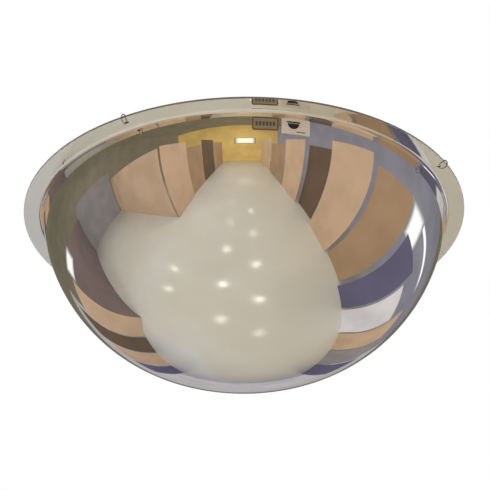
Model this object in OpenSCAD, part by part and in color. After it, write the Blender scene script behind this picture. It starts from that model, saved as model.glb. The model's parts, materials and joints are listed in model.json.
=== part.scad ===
// Full-view dome mirror for a ceiling: a deep acrylic dome with a flat flange, hung by four wire rings.
// Origin: centre of the flange's top face. +Z is up, the crown points down, and -Y is the labelled front.

/* [Dome] */
// Outside radius of the flange
flange_r = 400; // [390:1:420]
// Depth of the mirror face, from the flange's underside down to the crown
dome_depth = 297; // [294:1:300]
// Radius of the mirror face where its wall would meet the flange without a fillet
mouth_r = 366.6; // [360:0.2:372]
// Thickness of the acrylic sheet
sheet_t = 3; // [2:0.5:4]
// Radius of the curved wall between the crown and the flange
wall_r = 320; // [316:1:322]
// Height of the wall's widest level above the flange's underside, which sets its draft
wall_rise = 34; // [32:1:38]
// Radius of the concave fillet between the wall and the flange
root_r = 8; // [5:0.5:10]
// Thickness of the reflective layer with its protective paint
coat_t = 0.3; // [0.2:0.05:0.5]

/* [Suspension rings] */
// Direction of the first ring, anticlockwise from +X seen from above
first_ring_deg = -29.5; // [-45:0.5:0]
// Radius of the wire that a ring is bent from
wire_r = 1; // [0.8:0.1:1.2]
// Radius of a ring at the middle of its wire
ring_r = 8; // [7.5:0.5:9]
// Gap between the two ends of a ring's wire
ring_gap = 0.8; // [0.4:0.1:1.5]
// Radius of a ring's hole in the flange
hole_r = 3.5; // [3:0.25:4]
// Distance from a hole's centre to the flange's edge
hole_inset = 14; // [13.5:0.25:14.5]

/* [Labels] */
// Thickness of a label
label_t = 0.2; // [0.1:0.05:0.4]
// Width of the framed label
frame_label_w = 44; // [30:1:48]
// Height of the framed label
frame_label_h = 23.5; // [16:0.5:26]
// Width of the plain label
plain_label_w = 47; // [30:1:50]
// Height of the plain label
plain_label_h = 27; // [20:1:34]

/* [Hidden] */
$fa = 2;
$fs = 0.5;

// Levels: the flange's underside, and the widest level of the wall
under_z = -sheet_t;
wall_z = under_z + wall_rise;
// The wall's arc is centred here, out from the axis
wall_x = mouth_r - sqrt(wall_r * wall_r - wall_rise * wall_rise);
// The crown's arc is centred on the axis and runs smoothly into the wall's arc
crown_h = dome_depth + wall_rise;
crown_r = (wall_x * wall_x + crown_h * crown_h - wall_r * wall_r) / (2 * (crown_h - wall_r));
crown_z = under_z - dome_depth + crown_r;
crown_end_deg = atan2(wall_z - crown_z, wall_x);
// The root fillet touches the wall's arc and the flange's underside
root_z = under_z - root_r;
root_x = wall_x + sqrt(pow(wall_r + root_r, 2) - pow(wall_z - root_z, 2));
root_deg = atan2(root_z - wall_z, root_x - wall_x);

// A ring is centred on the flange's mid-plane, between its hole and the outside of the flange
ring_x = flange_r - hole_inset + ring_r;
ring_z = -sheet_t / 2;
ring_gap_deg = 2 * asin(ring_gap / 2 / ring_r);
// Where the wire's ends meet, above the flange and towards the dome
ring_gap_at_deg = 120;

// Label places: out to the right of the front line, and down from the flange's underside
frame_label_x = 36;
frame_label_drop = 23;
plain_label_x = 85.5;
plain_label_drop = 24.5;

// The part of a round band, r_in to r_out about centre, between two directions less than 120 degrees apart
module arc_band(centre, r_in, r_out, from_deg, to_deg) {
    reach = 2 * r_out;
    translate(centre)
    intersection() {
        difference() {
            circle(r = r_out);
            circle(r = r_in);
        }
        polygon([
            [0, 0],
            reach * [cos(from_deg), sin(from_deg)],
            reach * [cos(to_deg), sin(to_deg)]
        ]);
    }
}

// Half-section of a layer of the whole dome and flange, between two depths behind the mirror face
module layer_section(near, far) {
    arc_band([0, crown_z], crown_r - far, crown_r - near, -90, crown_end_deg);
    arc_band([wall_x, wall_z], wall_r - far, wall_r - near, crown_end_deg, root_deg);
    arc_band([root_x, root_z], root_r + near, root_r + far, 90, 180 + root_deg);
    translate([root_x, under_z + near])
    square([flange_r - root_x, far - near]);
}

// The four holes that the rings pass through
module ring_holes() {
    for (k = [0 : 3])
        rotate([0, 0, first_ring_deg + 90 * k])
        translate([flange_r - hole_inset, 0, -2 * sheet_t])
        cylinder(h = 4 * sheet_t, r = hole_r, $fn = 64);
}

module mirror_dome() {
    color([0.80, 0.79, 0.74])
    difference() {
        rotate_extrude()
        layer_section(0, sheet_t);
        ring_holes();
    }
}

module back_coat() {
    color([0.42, 0.43, 0.44])
    difference() {
        rotate_extrude()
        layer_section(sheet_t, sheet_t + coat_t);
        ring_holes();
    }
}

// A thin sticker that follows the wall, its middle x out from the front line and drop below the flange
module label(x, drop, width, height) {
    drop_z = under_z - drop - wall_z;
    level_r = wall_x + sqrt(wall_r * wall_r - drop_z * drop_z);
    span_deg = 2 * asin(width / 2 / level_r);
    low_deg = asin((drop_z - height / 2) / wall_r);
    high_deg = asin((drop_z + height / 2) / wall_r);
    rotate([0, 0, asin(x / level_r) - span_deg / 2 - 90])
    rotate_extrude(angle = span_deg)
    arc_band([wall_x, wall_z], wall_r, wall_r + label_t, low_deg, high_deg);
}

module label_framed() {
    color([0.72, 0.69, 0.62])
    label(frame_label_x, frame_label_drop, frame_label_w, frame_label_h);
}

module label_plain() {
    color([0.86, 0.85, 0.82])
    label(plain_label_x, plain_label_drop, plain_label_w, plain_label_h);
}

// An open wire ring standing upright in the plane that holds the mirror's axis
module suspension_ring(turn) {
    color([0.45, 0.44, 0.40])
    rotate([0, 0, first_ring_deg + 90 * turn])
    translate([ring_x, 0, ring_z])
    rotate([90, 0, 0])
    rotate([0, 0, ring_gap_at_deg + ring_gap_deg / 2])
    rotate_extrude(angle = 360 - ring_gap_deg, $fn = 96)
    translate([ring_r, 0])
    circle(r = wire_r, $fn = 32);
}

module ring_front_right() {
    suspension_ring(0);
}

module ring_back_right() {
    suspension_ring(1);
}

module ring_back_left() {
    suspension_ring(2);
}

module ring_front_left() {
    suspension_ring(3);
}

mirror_dome();
back_coat();
label_framed();
label_plain();
ring_front_right();
ring_back_right();
ring_back_left();
ring_front_left();
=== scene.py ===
"""A full-view ceiling dome mirror in a plain pale studio, seen from below as it hangs."""

import json
import math

import bmesh
import bpy
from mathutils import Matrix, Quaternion, Vector, noise


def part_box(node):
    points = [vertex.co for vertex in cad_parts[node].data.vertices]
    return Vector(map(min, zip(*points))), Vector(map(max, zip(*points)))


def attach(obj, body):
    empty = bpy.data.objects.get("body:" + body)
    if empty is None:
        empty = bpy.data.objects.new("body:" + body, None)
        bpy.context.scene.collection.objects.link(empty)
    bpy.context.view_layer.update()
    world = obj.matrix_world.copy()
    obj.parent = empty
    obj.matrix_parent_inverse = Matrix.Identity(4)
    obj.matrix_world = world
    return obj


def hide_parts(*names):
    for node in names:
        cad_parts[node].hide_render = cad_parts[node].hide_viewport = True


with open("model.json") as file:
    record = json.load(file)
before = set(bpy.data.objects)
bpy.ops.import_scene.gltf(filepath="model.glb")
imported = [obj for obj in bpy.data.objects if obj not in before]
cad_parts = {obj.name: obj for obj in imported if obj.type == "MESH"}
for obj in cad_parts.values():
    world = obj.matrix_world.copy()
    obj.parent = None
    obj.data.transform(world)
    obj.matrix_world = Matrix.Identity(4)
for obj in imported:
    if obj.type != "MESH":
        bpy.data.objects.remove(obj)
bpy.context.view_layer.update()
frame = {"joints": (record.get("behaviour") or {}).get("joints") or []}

# ---- Dimensions, in metres -------------------------------------------------------------------

MM = 0.001
dome_low, dome_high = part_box("mirror_dome")
coat_low, coat_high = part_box("back_coat")
FLANGE_R = min(dome_high.x, dome_high.y)
TOP_Z = dome_high.z
CROWN_Z = dome_low.z
COAT_T = coat_high.z - TOP_Z
SHEET_T = 3 * MM

# The mirror face's half-section: a crown arc, a wall arc, a concave root fillet and a flat flange
UNDER_Z = TOP_Z - SHEET_T
DEPTH = UNDER_Z - CROWN_Z
MOUTH_R = 366.6 * MM
WALL_R = 320 * MM
WALL_RISE = 34 * MM
ROOT_R = 8 * MM
WALL_Z = UNDER_Z + WALL_RISE
WALL_X = MOUTH_R - math.sqrt(WALL_R**2 - WALL_RISE**2)
CROWN_H = DEPTH + WALL_RISE
CROWN_R = (WALL_X**2 + CROWN_H**2 - WALL_R**2) / (2 * (CROWN_H - WALL_R))
CROWN_CENTRE_Z = CROWN_Z + CROWN_R
CROWN_END = math.atan2(WALL_Z - CROWN_CENTRE_Z, WALL_X)
ROOT_Z = UNDER_Z - ROOT_R
ROOT_X = WALL_X + math.sqrt((WALL_R + ROOT_R) ** 2 - (WALL_Z - ROOT_Z) ** 2)
ROOT_END = math.atan2(ROOT_Z - WALL_Z, ROOT_X - WALL_X)

RING_R = 8 * MM
WIRE_R = 1 * MM
RING_GAP = 0.8 * MM
RING_GAP_AT = math.radians(120)
HOLE_R = 3.5 * MM
EDGE_BEVEL = 0.35 * MM
COAT_BEVEL = 0.12 * MM
# The backing paint starts this far behind the sheet, so that the two surfaces don't share a place
COAT_GAP = 0.02 * MM

# How finely the shapes are divided
TURNS = 360
CROWN_STEPS, WALL_STEPS, ROOT_STEPS = 30, 64, 24
HOLE_SIDES = 48
WIRE_STEPS, WIRE_SIDES = 120, 28

joints = {joint["child"]: joint for joint in frame["joints"]}


# ---- Mesh helpers ----------------------------------------------------------------------------


def add_object(name, vertices, faces):
    mesh = bpy.data.meshes.new(name)
    mesh.from_pydata([tuple(v) for v in vertices], [], faces)
    mesh.update()
    piece = bpy.data.objects.new(name, mesh)
    bpy.context.scene.collection.objects.link(piece)
    return piece


def shade(piece, sharp_deg=35):
    """Outward normals, smooth faces, and hard edges where the surface turns sharply."""
    work = bmesh.new()
    work.from_mesh(piece.data)
    bmesh.ops.recalc_face_normals(work, faces=work.faces)
    work.to_mesh(piece.data)
    work.free()
    piece.data.shade_smooth()
    piece.data.set_sharp_from_angle(angle=math.radians(sharp_deg))


def arc(centre, radius, start, end, steps):
    x, z = centre
    angles = (start + (end - start) * k / steps for k in range(steps + 1))
    return [(x + radius * math.cos(a), z + radius * math.sin(a)) for a in angles]


def lathe(name, section):
    """Turns a closed half-section about Z. Its first and last points are on the axis."""
    vertices, rings = [], []
    for r, z in section:
        if r < 1e-6:
            rings.append([len(vertices)])
            vertices.append((0, 0, z))
        else:
            rings.append([len(vertices) + k for k in range(TURNS)])
            turns = (2 * math.pi * k / TURNS for k in range(TURNS))
            vertices += [(r * math.cos(a), r * math.sin(a), z) for a in turns]
    faces = []
    for lower, upper in zip(rings, rings[1:]):
        for k in range(TURNS):
            n = (k + 1) % TURNS
            if len(lower) == 1:
                faces.append((lower[0], upper[n], upper[k]))
            elif len(upper) == 1:
                faces.append((lower[k], lower[n], upper[0]))
            else:
                faces.append((lower[k], lower[n], upper[n], upper[k]))
    return add_object(name, vertices, faces)


def slab(name, place, grid, low, high, closed=False):
    """A thin closed slab over a grid of (u, v) rows. place(u, v, lift) puts a point on the wall."""
    rows, columns = len(grid), len(grid[0])
    vertices = [place(u, v, lift) for lift in (low, high) for row in grid for u, v in row]
    top = rows * columns
    last = columns if closed else columns - 1
    faces = []
    for i in range(rows - 1):
        for j in range(last):
            a, b = i * columns + j, i * columns + (j + 1) % columns
            c, d = b + columns, a + columns
            faces += [(a, d, c, b), (a + top, b + top, c + top, d + top)]
    rims = [[(0, j) for j in range(columns)], [(rows - 1, j) for j in range(columns)]]
    if not closed:
        rims += [[(i, 0) for i in range(rows)], [(i, columns - 1) for i in range(rows)]]
    for rim in rims:
        ids = [i * columns + j for i, j in rim]
        pairs = list(zip(ids, ids[1:]))
        if closed:
            pairs.append((ids[-1], ids[0]))
        faces += [(a, b, b + top, a + top) for a, b in pairs]
    piece = add_object(name, vertices, faces)
    shade(piece)
    return piece


def cut_ring_holes(piece):
    """Drills the four flange holes. Each ring's joint gives its place and its radial direction."""
    cutters = []
    for joint in joints.values():
        out = Vector(joint["axis"])
        centre = Vector(joint["pos_m"]) - out * RING_R
        work = bmesh.new()
        bmesh.ops.create_cone(
            work, cap_ends=True, segments=HOLE_SIDES, radius1=HOLE_R, radius2=HOLE_R,
            depth=8 * SHEET_T,
        )
        mesh = bpy.data.meshes.new("hole_cutter")
        work.to_mesh(mesh)
        work.free()
        cutter = bpy.data.objects.new("hole_cutter", mesh)
        bpy.context.scene.collection.objects.link(cutter)
        cutter.location = centre
        cutters.append(cutter)
    for cutter in cutters:
        cut = piece.modifiers.new("hole", "BOOLEAN")
        cut.object = cutter
        cut.operation = "DIFFERENCE"
        cut.solver = "EXACT"
    bpy.context.view_layer.update()
    cut_mesh = bpy.data.meshes.new_from_object(
        piece.evaluated_get(bpy.context.evaluated_depsgraph_get())
    )
    piece.modifiers.clear()
    piece.data = cut_mesh
    for cutter in cutters:
        bpy.data.objects.remove(cutter)


# ---- Material helpers ------------------------------------------------------------------------


class Nodes:
    """A material's node tree, with short ways to add and join nodes."""

    def __init__(self, name):
        self.material = bpy.data.materials.new(name)
        self.material.use_nodes = True
        self.tree = self.material.node_tree
        self.shader = self.tree.nodes["Principled BSDF"]
        self.place = self.add("ShaderNodeTexCoord").outputs["Object"]

    def add(self, kind, **settings):
        node = self.tree.nodes.new(kind)
        for key, value in settings.items():
            setattr(node, key, value)
        return node

    def put(self, socket, value):
        if isinstance(value, bpy.types.NodeSocket):
            self.tree.links.new(value, socket)
        else:
            socket.default_value = value

    def noise(self, scale, detail=2.0, roughness=0.5, at=None):
        node = self.add("ShaderNodeTexNoise")
        self.put(node.inputs["Vector"], at or self.place)
        self.put(node.inputs["Scale"], scale)
        self.put(node.inputs["Detail"], detail)
        self.put(node.inputs["Roughness"], roughness)
        return node.outputs["Fac"]

    def stretched(self, factors):
        """The object's coordinates with each axis scaled, for streaks."""
        node = self.add("ShaderNodeMapping")
        self.put(node.inputs["Vector"], self.place)
        self.put(node.inputs["Scale"], factors)
        return node.outputs["Vector"]

    def steps(self, fac, low, high, low_value, high_value):
        """A smooth change from one number to another as fac goes from low to high."""
        node = self.add("ShaderNodeMapRange", interpolation_type="SMOOTHSTEP")
        for key, value in zip(
            ("Value", "From Min", "From Max", "To Min", "To Max"),
            (fac, low, high, low_value, high_value),
        ):
            self.put(node.inputs[key], value)
        return node.outputs["Result"]

    def blend(self, fac, a, b):
        node = self.add("ShaderNodeMix", data_type="RGBA")
        self.put(node.inputs["Factor"], fac)
        self.put(node.inputs["A"], a if isinstance(a, bpy.types.NodeSocket) else (*a, 1))
        self.put(node.inputs["B"], b if isinstance(b, bpy.types.NodeSocket) else (*b, 1))
        return node.outputs["Result"]

    def bump(self, height, distance, strength=1.0):
        node = self.add("ShaderNodeBump")
        self.put(node.inputs["Height"], height)
        self.put(node.inputs["Distance"], distance)
        self.put(node.inputs["Strength"], strength)
        self.put(self.shader.inputs["Normal"], node.outputs["Normal"])

    def finish(self, **inputs):
        """Sets the shader's inputs, named with _ for each space, and returns the material."""
        for key, value in inputs.items():
            if isinstance(value, tuple) and len(value) == 3:
                value = (*value, 1)
            self.put(self.shader.inputs[key.replace("_", " ")], value)
        return self.material


def mirror_material():
    """Vacuum-silvered acrylic: a near-perfect, slightly warm mirror with a faint film of dust."""
    n = Nodes("mirror_face")
    film = n.steps(n.noise(7, 5, 0.6), 0.42, 0.72, 0, 1)
    specks = n.steps(n.noise(900, 1), 0.74, 0.80, 0, 1)
    clean = n.blend(film, (0.885, 0.880, 0.840), (0.865, 0.858, 0.812))
    return n.finish(
        Base_Color=n.blend(specks, clean, (0.78, 0.77, 0.72)),
        Metallic=1.0,
        Roughness=n.steps(n.noise(5, 4, 0.6), 0.40, 0.75, 0.004, 0.022),
    )


def edge_material():
    """The sheet's sawn and scraped edge: dull, slightly olive acrylic with fine marks."""
    n = Nodes("acrylic_edge")
    marks = n.noise(1500, 3, at=n.stretched((1, 1, 2.5)))
    grime = n.steps(n.noise(35, 4, 0.6), 0.35, 0.70, 0, 1)
    clean = n.blend(n.steps(marks, 0.30, 0.70, 0, 1), (0.125, 0.127, 0.118), (0.165, 0.166, 0.156))
    tone = n.blend(grime, clean, (0.105, 0.104, 0.094))
    n.bump(marks, 0.00005)
    return n.finish(Base_Color=tone, Roughness=0.42, IOR=1.49)


def back_paint_material():
    """Sprayed dark grey backing paint: fine orange peel, cloudy overspray and light dust."""
    n = Nodes("back_paint")
    clouds = n.steps(n.noise(14, 6, 0.65), 0.30, 0.75, 0, 1)
    grain = n.steps(n.noise(650, 2), 0.45, 0.75, 0, 1)
    paint = n.blend(clouds, (0.112, 0.113, 0.117), (0.138, 0.138, 0.140))
    dust = n.blend(n.steps(n.noise(1500, 1), 0.70, 0.78, 0, 0.6), paint, (0.36, 0.35, 0.33))
    n.bump(n.noise(380, 2), 0.00035)
    return n.finish(
        Base_Color=dust,
        Roughness=n.steps(grain, 0, 1, 0.36, 0.55),
        IOR=1.5,
    )


def wire_material():
    """Zinc-plated spring wire with drawing lines and dulled patches."""
    n = Nodes("ring_wire")
    patches = n.steps(n.noise(260, 3), 0.40, 0.65, 0, 1)
    scratches = n.noise(3200, 2, at=n.stretched((1, 1, 0.25)))
    n.bump(scratches, 0.000015)
    return n.finish(
        Base_Color=n.blend(patches, (0.47, 0.465, 0.44), (0.36, 0.35, 0.325)),
        Metallic=1.0,
        Roughness=n.steps(patches, 0, 1, 0.24, 0.36),
    )


def film_material():
    """A metallised sticker film, brushed along its length."""
    n = Nodes("label_film")
    brushed = n.noise(1800, 3, at=n.stretched((0.06, 0.06, 1)))
    tone = n.blend(n.steps(brushed, 0.3, 0.7, 0, 1), (0.25, 0.215, 0.150), (0.34, 0.30, 0.22))
    n.bump(brushed, 0.00002)
    return n.finish(Base_Color=tone, Metallic=0.25, Roughness=0.34)


def paper_material():
    """A vinyl-coated paper sticker, off-white, with a faint fibre mottle."""
    n = Nodes("label_paper")
    mottle = n.steps(n.noise(520, 4, 0.7), 0.35, 0.7, 0, 1)
    n.bump(n.noise(2200, 2), 0.00002)
    return n.finish(
        Base_Color=n.blend(mottle, (0.55, 0.50, 0.435), (0.63, 0.585, 0.52)),
        Roughness=0.48,
    )


def ink_material(name, colour, thin_colour):
    """Printed ink with slightly uneven cover."""
    n = Nodes(name)
    cover = n.steps(n.noise(1400, 3, 0.6), 0.45, 0.80, 0, 1)
    return n.finish(Base_Color=n.blend(cover, colour, thin_colour), Roughness=0.38)


# ---- The mirror ------------------------------------------------------------------------------


def layer_section(behind):
    """Half-section at a depth behind the mirror face, from the axis out to the flange's edge."""
    crown = arc((0, CROWN_CENTRE_Z), CROWN_R - behind, -math.pi / 2, CROWN_END, CROWN_STEPS)
    wall = arc((WALL_X, WALL_Z), WALL_R - behind, CROWN_END, ROOT_END, WALL_STEPS)
    root = arc(
        (ROOT_X, ROOT_Z), ROOT_R + behind, math.pi + ROOT_END, math.pi / 2, ROOT_STEPS
    )
    flat_z = UNDER_Z + behind
    flat = [(ROOT_X + 0.4 * MM, flat_z), (FLANGE_R - 2 * EDGE_BEVEL, flat_z)]
    return [(0, crown[0][1])] + crown[1:] + wall[1:] + root[1:] + flat


def sheet_section(front, back, bevel):
    """Closed half-section of the sheet between two depths, with a softened outer edge."""
    low, high = UNDER_Z + front, UNDER_Z + back
    edge = [
        (FLANGE_R - bevel, low),
        (FLANGE_R - 0.3 * bevel, low + 0.3 * bevel),
        (FLANGE_R, low + bevel),
        (FLANGE_R, high - bevel),
        (FLANGE_R - 0.3 * bevel, high - 0.3 * bevel),
        (FLANGE_R - bevel, high),
    ]
    return layer_section(front) + edge + layer_section(back)[::-1]


def ripple(mesh):
    """Moves the moulded sheet's points in and out by under 0.1 mm, as real ones are."""
    broad_scale, broad_mm = 5.5, 0.10
    fine_scale, fine_mm, fine_shift = 17, 0.012, Vector((3.1, 7.7, 1.3))
    root_reach = 90 * MM  # the fine part grows over this height below the flange
    pole_reach = 60 * MM  # all of it fades out towards the axis
    for v in mesh.vertices:
        r = math.hypot(v.co.x, v.co.y)
        if r > ROOT_X:
            continue
        broad = noise.noise(v.co * broad_scale)
        fine = noise.noise(v.co * fine_scale + fine_shift)
        near_root = max(0.0, 1 - (UNDER_Z - v.co.z) / root_reach)
        from_pole = min(1.0, r / pole_reach)
        out = Vector((v.co.x, v.co.y, v.co.z - CROWN_CENTRE_Z)).normalized()
        v.co += out * (broad * broad_mm + fine * fine_mm * (1 + near_root)) * from_pole * MM


def make_mirror_sheet():
    sheet = lathe("mirror_sheet", sheet_section(0, SHEET_T, EDGE_BEVEL))
    ripple(sheet.data)
    cut_ring_holes(sheet)
    shade(sheet)
    sheet.data.materials.append(mirror_material())
    sheet.data.materials.append(edge_material())
    # all but the cut edge, the hole walls and the side towards the paint is reflective
    for face in sheet.data.polygons:
        c, facing = face.center, face.normal
        radius = math.hypot(c.x, c.y)
        on_edge = radius > FLANGE_R - 1.5 * EDGE_BEVEL
        in_hole = c.z > ROOT_Z and radius > ROOT_X and abs(facing.z) < 0.7
        hollow_side = facing.dot(Vector((c.x, c.y, c.z - CROWN_CENTRE_Z))) < 0 and radius < ROOT_X
        on_top = radius >= ROOT_X and facing.z > 0.7
        face.material_index = int(on_edge or in_hole or hollow_side or on_top)
    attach(sheet, "mirror")
    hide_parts("mirror_dome")


def make_back_coat():
    section = sheet_section(SHEET_T + COAT_GAP, SHEET_T + COAT_T, COAT_BEVEL)
    coat = lathe("backing_paint", section)
    cut_ring_holes(coat)
    shade(coat)
    coat.data.materials.append(back_paint_material())
    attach(coat, "mirror")
    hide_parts("back_coat")


# ---- The suspension rings --------------------------------------------------------------------


def make_ring(node, material):
    """An open ring of round wire, its ends nipped to blunt, rounded faces that nearly meet."""
    joint = joints[node]
    out = Vector(joint["axis"])
    up = Vector((0, 0, 1))
    side = out.cross(up)
    centre = Vector(joint["pos_m"])
    half_gap = math.asin(RING_GAP / 2 / RING_R)
    start, end = RING_GAP_AT + half_gap, RING_GAP_AT + 2 * math.pi - half_gap
    # each end's rounding: distance from the end and size, both as parts of the wire's radius
    blunt = [(0.0, 0.70), (0.10, 0.88), (0.28, 0.97)]
    whole = 0.6
    stations = [(start + d * WIRE_R / RING_R, s) for d, s in blunt]
    first, last = start + whole * WIRE_R / RING_R, end - whole * WIRE_R / RING_R
    stations += [(first + (last - first) * k / WIRE_STEPS, 1.0) for k in range(WIRE_STEPS + 1)]
    stations += [(end - d * WIRE_R / RING_R, s) for d, s in reversed(blunt)]
    vertices = []
    for angle, size in stations:
        spoke = out * math.cos(angle) + up * math.sin(angle)
        for k in range(WIRE_SIDES):
            turn = 2 * math.pi * k / WIRE_SIDES
            offset = spoke * math.cos(turn) + side * math.sin(turn)
            vertices.append(centre + spoke * RING_R + offset * WIRE_R * size)
    faces = []
    for i in range(len(stations) - 1):
        for k in range(WIRE_SIDES):
            a, b = i * WIRE_SIDES + k, i * WIRE_SIDES + (k + 1) % WIRE_SIDES
            faces.append((a, b, b + WIRE_SIDES, a + WIRE_SIDES))
    faces.append(tuple(range(WIRE_SIDES)))
    faces.append(tuple(reversed(range(len(vertices) - WIRE_SIDES, len(vertices)))))
    ring = add_object("wire_" + node, vertices, faces)
    shade(ring, 40)
    ring.data.materials.append(material)
    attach(ring, node)
    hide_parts(node)


# ---- The labels ------------------------------------------------------------------------------

# A label takes up this part of its CAD label's width and height
LABEL_FILL = 0.985
# Heights above the mirror face: a label's underside, its top, and the top of its print
FILM_UNDER = 0.01 * MM
FILM_TOP = 0.15 * MM
PRINT_TOP = 0.18 * MM


def label_place(node):
    """Width, height and a function that puts (u, v, lift) on the wall, from the CAD label's box."""
    low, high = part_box(node)
    low_arc = math.asin((low.z - WALL_Z) / WALL_R)
    high_arc = math.asin((high.z - WALL_Z) / WALL_R)
    mid_arc = (low_arc + high_arc) / 2
    level_r = WALL_X + WALL_R * math.cos(mid_arc)
    low_turn, high_turn = math.asin(low.x / level_r), math.asin(high.x / level_r)
    mid_turn = (low_turn + high_turn) / 2

    def place(u, v, lift):
        along = mid_arc + v / WALL_R
        radius = WALL_X + (WALL_R + lift) * math.cos(along)
        turn = mid_turn + u / level_r
        height = WALL_Z + (WALL_R + lift) * math.sin(along)
        return Vector((radius * math.sin(turn), -radius * math.cos(turn), height))

    width = level_r * (high_turn - low_turn) * LABEL_FILL
    height = WALL_R * (high_arc - low_arc) * LABEL_FILL
    return width, height, place


def rounded_grid(width, height, corner, columns=36, rows=14, at=(0, 0)):
    """Rows of (u, v) that fill a rectangle with rounded corners."""
    grid = []
    for i in range(rows + 1):
        row = []
        for j in range(columns + 1):
            # columns crowd towards the ends, where the corners turn
            u = -math.cos(math.pi * j / columns) * width / 2
            past = max(0.0, abs(u) - (width / 2 - corner))
            half = height / 2 - corner + math.sqrt(max(0.0, corner**2 - past**2))
            row.append((at[0] + u, at[1] + half * (2 * i / rows - 1)))
        grid.append(row)
    return grid


def rounded_outline(width, height, corner, per_corner=10, per_side=12):
    """A closed loop of (u, v) round a rectangle with rounded corners."""
    loop = []
    for quarter, (sx, sy) in enumerate(((1, 1), (-1, 1), (-1, -1), (1, -1))):
        cx, cy = sx * (width / 2 - corner), sy * (height / 2 - corner)
        for k in range(per_corner + 1):
            angle = math.pi / 2 * (quarter + k / per_corner)
            loop.append((cx + corner * math.cos(angle), cy + corner * math.sin(angle)))
        nx, ny = ((-1, 1), (-1, -1), (1, -1), (1, 1))[quarter]
        end = (nx * (width / 2 - corner), ny * (height / 2 - corner))
        angle = math.pi / 2 * (quarter + 1)
        end = (end[0] + corner * math.cos(angle), end[1] + corner * math.sin(angle))
        last = loop[-1]
        for k in range(1, per_side):
            t = k / per_side
            loop.append((last[0] + (end[0] - last[0]) * t, last[1] + (end[1] - last[1]) * t))
    return loop


def border_grid(width, height, corner, line):
    """Two loops that bound a frame line of even width."""
    outer = rounded_outline(width, height, corner)
    inner = rounded_outline(width - 2 * line, height - 2 * line, corner - line)
    return [outer, inner]


def sector_grid(at, inner, outer, start_deg, end_deg, rows=6, columns=28):
    """Rows of (u, v) that fill part of a disc or a round band."""
    sweep = [start_deg + (end_deg - start_deg) * j / columns for j in range(columns + 1)]
    angles = [math.radians(a) for a in sweep]
    grid = []
    for i in range(rows + 1):
        radius = inner + (outer - inner) * i / rows
        grid.append([(at[0] + radius * math.cos(a), at[1] + radius * math.sin(a)) for a in angles])
    return grid


def add_label_piece(name, place, grid, low, high, material, closed=False):
    piece = slab(name, place, grid, low, high, closed)
    piece.data.materials.append(material)
    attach(piece, "mirror")
    return piece


def make_framed_label():
    """A small metallised sticker with a red-brown frame line and a row of equal plain bars."""
    width, height, place = label_place("label_framed")
    base = add_label_piece(
        "label_framed_film", place, rounded_grid(width, height, 4 * MM), FILM_UNDER, FILM_TOP,
        film_material(),
    )
    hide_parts("label_framed")
    red = ink_material("red_brown_ink", (0.165, 0.048, 0.020), (0.23, 0.085, 0.045))
    grey = ink_material("grey_ink", (0.070, 0.062, 0.045), (0.12, 0.11, 0.08))
    frame_grid = border_grid(width - 0.8 * MM, height - 0.8 * MM, 3.6 * MM, 2.2 * MM)
    add_label_piece("label_framed_border", place, frame_grid, FILM_TOP, PRINT_TOP, red, True)
    bars, pitch = 6, 5.6 * MM
    for k in range(bars):
        at = ((k - (bars - 1) / 2) * pitch, 0)
        grid = rounded_grid(3.9 * MM, 8 * MM, 1.6 * MM, 14, 6, at)
        add_label_piece(f"label_framed_bar_{k + 1}", place, grid, FILM_TOP, PRINT_TOP, grey)


def make_plain_label():
    """An off-white sticker with a plain pictogram of a dome under a ceiling, and one thin line."""
    width, height, place = label_place("label_plain")
    base = add_label_piece(
        "label_plain_paper", place, rounded_grid(width, height, 0.6 * MM), FILM_UNDER, FILM_TOP,
        paper_material(),
    )
    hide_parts("label_plain")
    black = ink_material("black_ink", (0.010, 0.010, 0.010), (0.030, 0.029, 0.027))
    middle = (-4 * MM, 5.2 * MM)
    over = (middle[0], middle[1] + 2.3 * MM)
    marks = {
        "ceiling": rounded_grid(23 * MM, 2.6 * MM, 1.2 * MM, 20, 3, over),
        "dome": sector_grid(middle, 0.2 * MM, 9.6 * MM, 180, 360),
        "line": rounded_grid(15 * MM, 1.6 * MM, 0.7 * MM, 16, 2, (8.5 * MM, -9 * MM)),
    }
    for name, grid in marks.items():
        add_label_piece("label_plain_" + name, place, grid, FILM_TOP, PRINT_TOP, black)


# ---- Studio, light and camera ----------------------------------------------------------------

FLOOR_Z = -2.6
COOL_WHITE = (0.96, 0.98, 1)
WASH_WHITE = (1, 0.985, 0.95)


def flat_panel(name, centre, along, across, material, seen=False):
    """A flat stage panel. along and across are its half-edges."""
    c, a, b = Vector(centre), Vector(along), Vector(across)
    panel = add_object(name, [c - a - b, c + a - b, c + a + b, c - a + b], [(0, 1, 2, 3)])
    panel.data.materials.append(material)
    panel.visible_camera = seen
    return panel


def floor_material():
    """A sealed concrete floor, cooler on the left, that returns soft spots of the lamps."""
    n = Nodes("sealed_floor")
    stains = n.steps(n.noise(0.5, 5, 0.6), 0.3, 0.7, 0, 1)
    axes = n.add("ShaderNodeSeparateXYZ")
    n.put(axes.inputs["Vector"], n.place)
    side = n.steps(axes.outputs["X"], -1.5, 1.3, 0, 1)
    tone = n.blend(side, (0.645, 0.65, 0.65), (0.625, 0.61, 0.545))
    tone = n.blend(stains, tone, (0.61, 0.595, 0.545))
    # the left corner behind the mirror, which the left of the flange shows, is cooler still
    behind = n.steps(axes.outputs["Y"], 1.5, 3.5, 0, 1)
    corner = n.steps(axes.outputs["X"], -1.1, -0.7, behind, 0)
    return n.finish(
        Base_Color=n.blend(corner, tone, (0.65, 0.68, 0.73)),
        Roughness=n.steps(n.noise(2.2, 4), 0.3, 0.7, 0.12, 0.17),
        IOR=1.5,
    )


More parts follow.
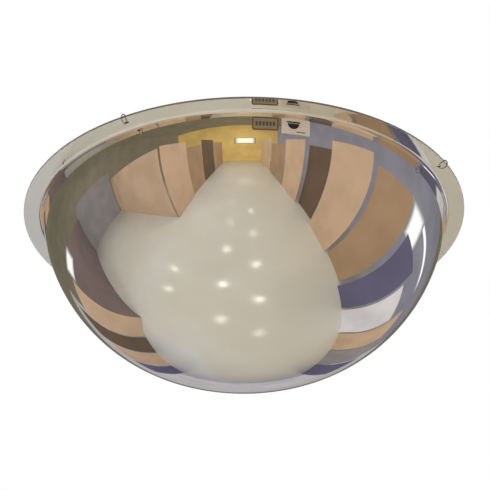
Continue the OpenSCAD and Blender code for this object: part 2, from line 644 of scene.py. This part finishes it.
def pale_floor_material():
    """An even pale floor that brightens to white far away."""
    n = Nodes("pale_floor_seen")
    far = n.add("ShaderNodeVectorMath", operation="LENGTH")
    n.put(far.inputs[0], n.place)
    cloudy = n.steps(n.noise(0.35, 4), 0.3, 0.7, 0, 1)
    glow = n.steps(far.outputs["Value"], 2, 22, 0.78, 1.0)
    tone = n.blend(cloudy, (1.0, 0.992, 0.975), (0.975, 0.966, 0.948))
    return n.finish(
        Base_Color=(0, 0, 0), Emission_Color=tone, Emission_Strength=glow, Roughness=1.0
    )


def flat_material(name, colour, glow):
    """A plain painted studio flat that gives back a little light of its own."""
    n = Nodes(name)
    cloudy = n.steps(n.noise(0.9, 4), 0.3, 0.7, 0, 1)
    tone = n.blend(cloudy, colour, tuple(c * 0.85 for c in colour))
    return n.finish(Base_Color=tone, Emission_Color=tone, Emission_Strength=glow, Roughness=0.8)


def softbox_material(name, colour, brightness, half_width, half_height):
    """An even glow that fades out towards the panel's edges."""
    n = Nodes(name)
    axes = n.add("ShaderNodeSeparateXYZ")
    n.put(axes.inputs["Vector"], n.place)
    fades = []
    for axis, reach in (("X", half_width), ("Y", half_height)):
        away = n.add("ShaderNodeMath", operation="ABSOLUTE")
        n.put(away.inputs[0], axes.outputs[axis])
        fades.append(n.steps(away.outputs[0], reach * 0.5, reach, brightness, 0.25))
    both = n.add("ShaderNodeMath", operation="MINIMUM")
    n.put(both.inputs[0], fades[0])
    n.put(both.inputs[1], fades[1])
    return n.finish(
        Base_Color=(0.02, 0.02, 0.02), Emission_Color=colour, Emission_Strength=both.outputs[0]
    )


def softbox(name, azimuth_deg, height, distance, width, tall, colour, brightness):
    """A soft glowing panel that faces the mirror's axis. Azimuth is from +Y towards +X."""
    turn = math.radians(azimuth_deg)
    half = (width / 2, tall / 2)
    corners = [(half[0] * x, half[1] * y, 0) for x, y in ((-1, -1), (1, -1), (1, 1), (-1, 1))]
    panel = add_object(name, corners, [(0, 1, 2, 3)])
    place = Vector((math.sin(turn), math.cos(turn), 0)) * distance + Vector((0, 0, height))
    panel.location = place
    panel.rotation_mode = "QUATERNION"
    panel.rotation_quaternion = Vector((-place.x, -place.y, 0)).to_track_quat("Z", "Y")
    panel.data.materials.append(softbox_material(name, colour, brightness, *half))
    panel.visible_camera = False
    return panel


def make_studio():
    """A long plain room of painted flats round a pale floor, open on the left beside the mirror."""
    flat_panel("floor", (0, 0, FLOOR_Z), (40, 0, 0), (0, 40, 0), floor_material())
    # the camera sees a pale floor of its own, a metre lower and without the shadows of the flats
    pale = flat_panel(
        "pale_floor", (0, 0, FLOOR_Z - 1), (60, 0, 0), (0, 60, 0), pale_floor_material(), seen=True
    )
    pale.visible_diffuse = pale.visible_glossy = pale.visible_shadow = False
    paints = {
        "light": flat_material("light_kraft_flat", (0.60, 0.43, 0.305), 0.30),
        "kraft": flat_material("kraft_flat", (0.43, 0.29, 0.185), 0.25),
        "brown": flat_material("brown_flat", (0.17, 0.12, 0.085), 0.2),
        "slate": flat_material("slate_flat", (0.125, 0.12, 0.215), 0.35),
        "mauve": flat_material("mauve_flat", (0.20, 0.155, 0.16), 0.3),
        "grey": flat_material("grey_flat", (0.30, 0.29, 0.30), 0.3),
        "pale": flat_material("pale_flat", (0.56, 0.55, 0.60), 0.6),
        "ochre": flat_material("ochre_flat", (0.55, 0.38, 0.13), 0.7),
        "taupe": flat_material("taupe_flat", (0.21, 0.185, 0.135), 0.6),
        "steel": flat_material("steel_flat", (0.25, 0.25, 0.31), 0.6),
        "olive": flat_material("olive_ceiling", (0.165, 0.15, 0.105), 0.7),
    }
    right, left, far_left = 2.15, -2.45, -9.0
    # each flat: its place across the room, its start and end along it, its top and its paint
    flats = [
        (right, -13.0, -8.6, 0.5, "light"), (right, -8.4, -5.6, 0.1, "kraft"),
        (right, -5.5, -3.6, 0.4, "light"), (right + 0.2, -3.6, -2.3, 0.2, "brown"),
        (right, -2.2, -0.9, 0.45, "light"), (right + 0.1, -0.8, 0.35, 0.25, "kraft"),
        (right, 0.5, 1.5, -0.25, "slate"), (right, 1.6, 3.0, -0.5, "pale"),
        (right, 3.1, 4.6, 0.0, "light"), (right, 4.7, 7.0, 0.2, "grey"),
        (right, 7.2, 11.0, 0.4, "slate"),
        (left, -13.0, -9.2, 0.3, "kraft"), (left, -9.1, -6.4, 0.5, "brown"),
        (left, -6.3, -4.4, 0.1, "kraft"), (left + 0.1, -4.3, -2.6, 0.35, "light"),
        (left, 2.2, 3.6, 0.0, "light"), (left, 3.7, 5.4, 0.4, "brown"),
        (left, 5.5, 8.0, 0.2, "light"), (left, 8.1, 11.0, 0.4, "slate"),
    ]
    for k, (x, start, end, top, paint) in enumerate(flats):
        middle, half_z = (top + FLOOR_Z) / 2, (top - FLOOR_Z) / 2
        centre = (x, (start + end) / 2, middle)
        flat_panel(f"flat_{k}", centre, (0, (end - start) / 2, 0), (0, 0, half_z), paints[paint])
    # the side bay on the left: its two walls and its far end
    bay = (far_left + left) / 2
    bay_half = (left - far_left) / 2
    flat_panel("bay_near", (bay, -2.6, -1.15), (bay_half, 0, 0), (0, 0, 1.45), paints["light"])
    flat_panel("bay_beyond", (bay, 2.2, -1.2), (bay_half, 0, 0), (0, 0, 1.4), paints["mauve"])
    flat_panel("bay_end", (far_left, 0, -0.8), (0, 2.4, 0), (0, 0, 1.8), paints["grey"])
    length, ceiling = 14.0, 2.9
    flat_panel("upper_right", (4.4, 0, 0.2), (0, length, 0), (0, 0, 2.8), paints["steel"])
    flat_panel("upper_left", (far_left - 0.2, 0, 0.2), (0, length, 0), (0, 0, 2.8), paints["taupe"])
    flat_panel("end_front", (0, -length, 0.2), (10, 0, 0), (0, 0, 2.8), paints["ochre"])
    flat_panel("end_back", (0, length, 0.2), (10, 0, 0), (0, 0, 2.8), paints["pale"])
    flat_panel("ceiling", (-2.3, 0, ceiling), (7, 0, 0), (0, length, 0), paints["olive"])
    softbox("softbox_right", 72, -0.02, 2.9, 0.75, 0.85, COOL_WHITE, 1.2)
    softbox("softbox_end", 179, 0.45, 13.4, 2.6, 0.9, (1, 0.90, 0.66), 1.4)
    softbox("softbox_left", -55, 0.0, 3.0, 0.62, 0.32, COOL_WHITE, 1.1)
    # a long strip along the right, which the dome's wall bends into an arc
    strip = softbox("softbox_strip", 90, 0.37, 3.3, 4.0, 0.20, COOL_WHITE, 1.15)
    strip.location.y = 2.4


def area_light(name, place, aim, size, power, colour, seen=True, spread_deg=180):
    data = bpy.data.lights.new(name, "AREA")
    data.shape = "RECTANGLE"
    data.size, data.size_y = size
    data.energy = power
    data.color = colour
    data.spread = math.radians(spread_deg)
    lamp = bpy.data.objects.new(name, data)
    bpy.context.scene.collection.objects.link(lamp)
    lamp.location = place
    lamp.rotation_mode = "QUATERNION"
    lamp.rotation_quaternion = (Vector(aim) - Vector(place)).to_track_quat("-Z", "Y")
    lamp.visible_camera = False
    lamp.visible_glossy = seen


def make_lights():
    """Two rows of small ceiling lamps, which the floor returns as soft spots, and broad washes."""
    rows, pitch, per_row = ((-1.3, -10.5), (0.75, -9.0)), 3.4, 5
    lamps = [(x, first_y + pitch * k) for x, first_y in rows for k in range(per_row)]
    lamps += [(-5.0, -1.0), (-5.0, 1.2)]
    for k, (x, y) in enumerate(lamps):
        # the narrow spread keeps the lamps themselves out of the mirror
        area_light(
            f"lamp_{k}", (x, y, 2.6), (x, y, 0), (0.32, 0.32), 9, (1, 0.97, 0.93), spread_deg=115
        )
    area_light(
        "wash", (-0.8, -1, 2.55), (-0.8, -1, 0), (6.0, 24.0), 435, WASH_WHITE, seen=False
    )
    area_light(
        "bay_wash", (-5.6, 0, 2.5), (-5.6, 0, 0), (5.0, 4.0), 55, WASH_WHITE, seen=False
    )
    # aimed up from near the floor, so that it lights the sheet's edge and the labels only
    area_light(
        "front_fill", (0.6, -4.5, -2.2), (0, 0, -0.1), (2.5, 0.8), 6, (1, 0.98, 0.94),
        seen=False, spread_deg=44,
    )
    for side in (-1, 1):
        # the sheet's edge is paler at the sides
        place, aim = (1.9 * side, -1.0, -1.1), (0.38 * side, -0.08, 0)
        area_light(
            f"side_fill_{side + 1}", place, aim, (0.3, 0.3), 0.75, (1, 0.98, 0.95),
            seen=False, spread_deg=15,
        )


def make_world():
    """White behind the object, and dim warm light everywhere else."""
    world = bpy.data.worlds.new("studio")
    bpy.context.scene.world = world
    world.use_nodes = True
    tree = world.node_tree
    tree.nodes.clear()
    seen = tree.nodes.new("ShaderNodeBackground")
    seen.inputs["Color"].default_value = (1, 1, 1, 1)
    unseen = tree.nodes.new("ShaderNodeBackground")
    unseen.inputs["Color"].default_value = (0.50, 0.47, 0.40, 1)
    path = tree.nodes.new("ShaderNodeLightPath")
    mix = tree.nodes.new("ShaderNodeMixShader")
    out = tree.nodes.new("ShaderNodeOutputWorld")
    tree.links.new(path.outputs["Is Camera Ray"], mix.inputs[0])
    tree.links.new(unseen.outputs[0], mix.inputs[1])
    tree.links.new(seen.outputs[0], mix.inputs[2])
    tree.links.new(mix.outputs[0], out.inputs["Surface"])


def make_camera():
    """From in front and 30 degrees below, seven flange radii away, and rolled a little."""
    data = bpy.data.cameras.new("camera")
    data.sensor_width = 36
    data.lens = 112.4
    camera = bpy.data.objects.new("camera", data)
    bpy.context.scene.collection.objects.link(camera)
    away, below, roll = 7 * FLANGE_R, math.radians(30.32), math.radians(-0.7)
    place = Vector((0, -away * math.cos(below), UNDER_Z - away * math.sin(below)))
    aim = Vector((1 * MM, 0, -46.5 * MM))
    camera.location = place
    camera.rotation_mode = "QUATERNION"
    level = (aim - place).to_track_quat("-Z", "Y")
    camera.rotation_quaternion = level @ Quaternion((0, 0, 1), roll)
    data.clip_start, data.clip_end = 0.05, 100
    bpy.context.scene.camera = camera


make_camera()
make_mirror_sheet()
make_back_coat()
wire = wire_material()
for ring_node in joints:
    make_ring(ring_node, wire)
make_framed_label()
make_plain_label()
make_studio()
make_lights()
make_world()
bpy.context.scene.view_settings.view_transform = "Standard"
